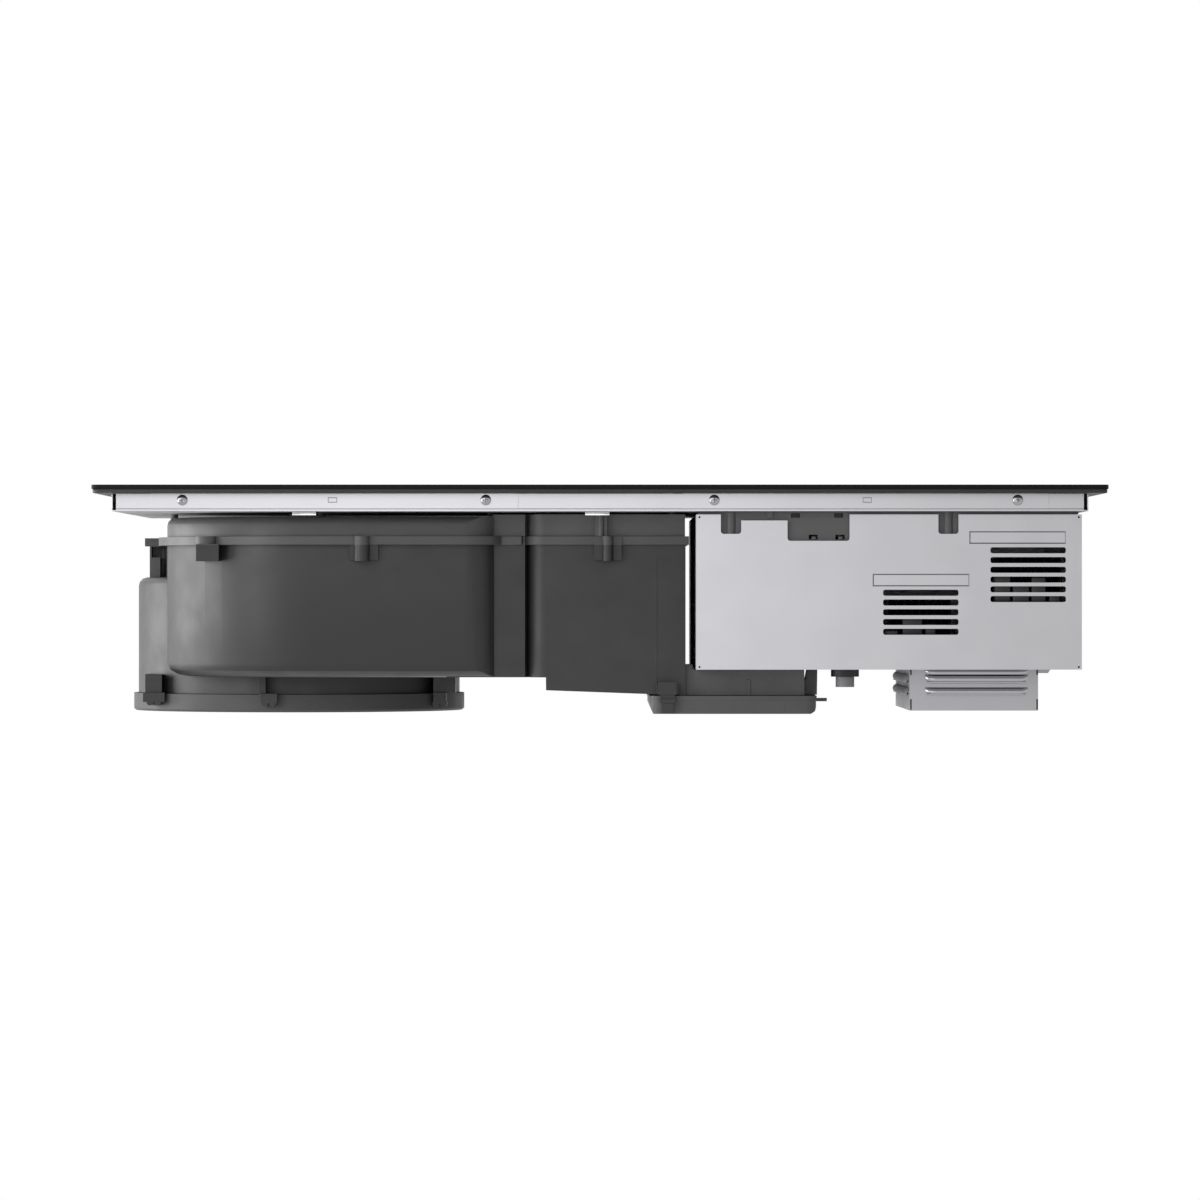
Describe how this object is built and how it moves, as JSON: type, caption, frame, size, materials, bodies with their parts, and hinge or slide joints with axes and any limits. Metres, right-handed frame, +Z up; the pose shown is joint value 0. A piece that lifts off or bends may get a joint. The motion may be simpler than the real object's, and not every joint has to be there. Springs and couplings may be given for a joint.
{
  "type": "downdraft induction cooktop",
  "caption": "Built-in induction cooktop with a central downdraft intake, blower housing, drip tray and electronics box under a black glass plate.",
  "frame": {"origin": "centre of the worktop cut-out on the worktop's upper face, which is the underside of the trim frame", "axes": "+X to the right for someone standing at the front, -Y towards that person, +Z up"},
  "size_m": [0.916, 0.53, 0.2076],
  "materials": {
    "black_glass": "polished ceramic glass, black",
    "grey_trim": "dark grey frame with a fine texture",
    "galvanised_sheet": "plain galvanised sheet steel, satin",
    "zinc_screw": "bright zinc plate",
    "charcoal_plastic": "moulded charcoal, fine texture",
    "black_plastic": "moulded black, satin",
    "grey_plastic": "moulded grey, satin",
    "black_enamel": "matt black coat",
    "copper_litz": null,
    "aluminium_sheet": "plain rolled",
    "stainless_steel": "satin stainless",
    "circuit_board": "green solder mask"
  },
  "bodies": {
    "chassis": {"glass_panel": "black_glass", "trim_frame": "grey_trim", "skirt_pan": "galvanised_sheet", "mounting_strip_left": "galvanised_sheet", "mounting_strip_right": "galvanised_sheet", "strip_screw_1": "zinc_screw", "strip_screw_2": "zinc_screw", "strip_screw_3": "zinc_screw", "strip_screw_4": "zinc_screw", "coil_plate_left": "aluminium_sheet", "coil_plate_right": "aluminium_sheet", "coil_left_front": "copper_litz", "coil_left_rear": "copper_litz", "coil_right_front": "copper_litz", "coil_right_rear": "copper_litz", "touch_board": "circuit_board", "intake_collar": "black_plastic", "blower_upper_shell": "charcoal_plastic", "blower_lower_shell": "charcoal_plastic", "intake_duct": "charcoal_plastic", "volute_insert": "charcoal_plastic", "motor": "stainless_steel", "blower_cover": "charcoal_plastic", "cover_clip_1": "charcoal_plastic", "cover_clip_2": "charcoal_plastic", "cover_clip_3": "charcoal_plastic", "cover_clip_4": "charcoal_plastic", "cover_clip_5": "charcoal_plastic", "outlet_spigot": "charcoal_plastic", "clip_pin_front": "stainless_steel", "clip_pin_rear": "stainless_steel", "box_front_panel": "galvanised_sheet", "electronics_box": "galvanised_sheet", "board_carrier": "charcoal_plastic", "power_board_left": "circuit_board", "power_board_right": "circuit_board", "heat_sink_left": "aluminium_sheet", "heat_sink_right": "aluminium_sheet", "supply_board": "circuit_board", "terminal_block": "black_plastic", "cooling_fan_frame_front": "black_plastic", "cooling_fan_frame_rear": "black_plastic", "louvred_cowl": "galvanised_sheet", "gland_nut": "black_plastic", "gland_body": "grey_plastic"},
    "blower_wheel": {"fan_wheel": "black_plastic", "motor_shaft": "stainless_steel"},
    "cooling_rotor_front": {"cooling_fan_rotor_front": "black_plastic"},
    "cooling_rotor_rear": {"cooling_fan_rotor_rear": "black_plastic"},
    "filter_unit": {"filter_basket": "charcoal_plastic", "grease_filter_left": "stainless_steel", "grease_filter_right": "stainless_steel"},
    "grille": {"intake_grille": "black_enamel"},
    "tray": {"drip_tray": "charcoal_plastic"},
    "front_clip": {"tray_clip_front": "charcoal_plastic"},
    "rear_clip": {"tray_clip_rear": "charcoal_plastic"}
  },
  "joints": [
    {"name": "blower_spin", "type": "hinge", "parent": "chassis", "child": "blower_wheel", "pos_m": [-0.285, 0.03, -0.125], "axis": [0, 0, 1], "continuous": true},
    {"name": "cooling_front_spin", "type": "hinge", "parent": "chassis", "child": "cooling_rotor_front", "pos_m": [0.342, -0.016, -0.147], "axis": [0, 0, 1], "continuous": true},
    {"name": "cooling_rear_spin", "type": "hinge", "parent": "chassis", "child": "cooling_rotor_rear", "pos_m": [0.342, 0.066, -0.147], "axis": [0, 0, 1], "continuous": true},
    {"name": "filter_lift", "type": "slide", "parent": "chassis", "child": "filter_unit", "axis": [0, 0, 1], "range_m": [0, 0.18]},
    {"name": "grille_lift", "type": "slide", "parent": "filter_unit", "child": "grille", "axis": [0, 0, 1], "range_m": [0, 0.08]},
    {"name": "tray_drop", "type": "slide", "parent": "chassis", "child": "tray", "axis": [0, 0, -1], "range_m": [0, 0.06]},
    {"name": "front_clip_swing", "type": "hinge", "parent": "chassis", "child": "front_clip", "pos_m": [0.0615, -0.197, -0.177], "axis": [-1, 0, 0], "range_deg": [0, 75]},
    {"name": "rear_clip_swing", "type": "hinge", "parent": "chassis", "child": "rear_clip", "pos_m": [0.1315, 0.125, -0.177], "axis": [1, 0, 0], "range_deg": [0, 75]}
  ]
}
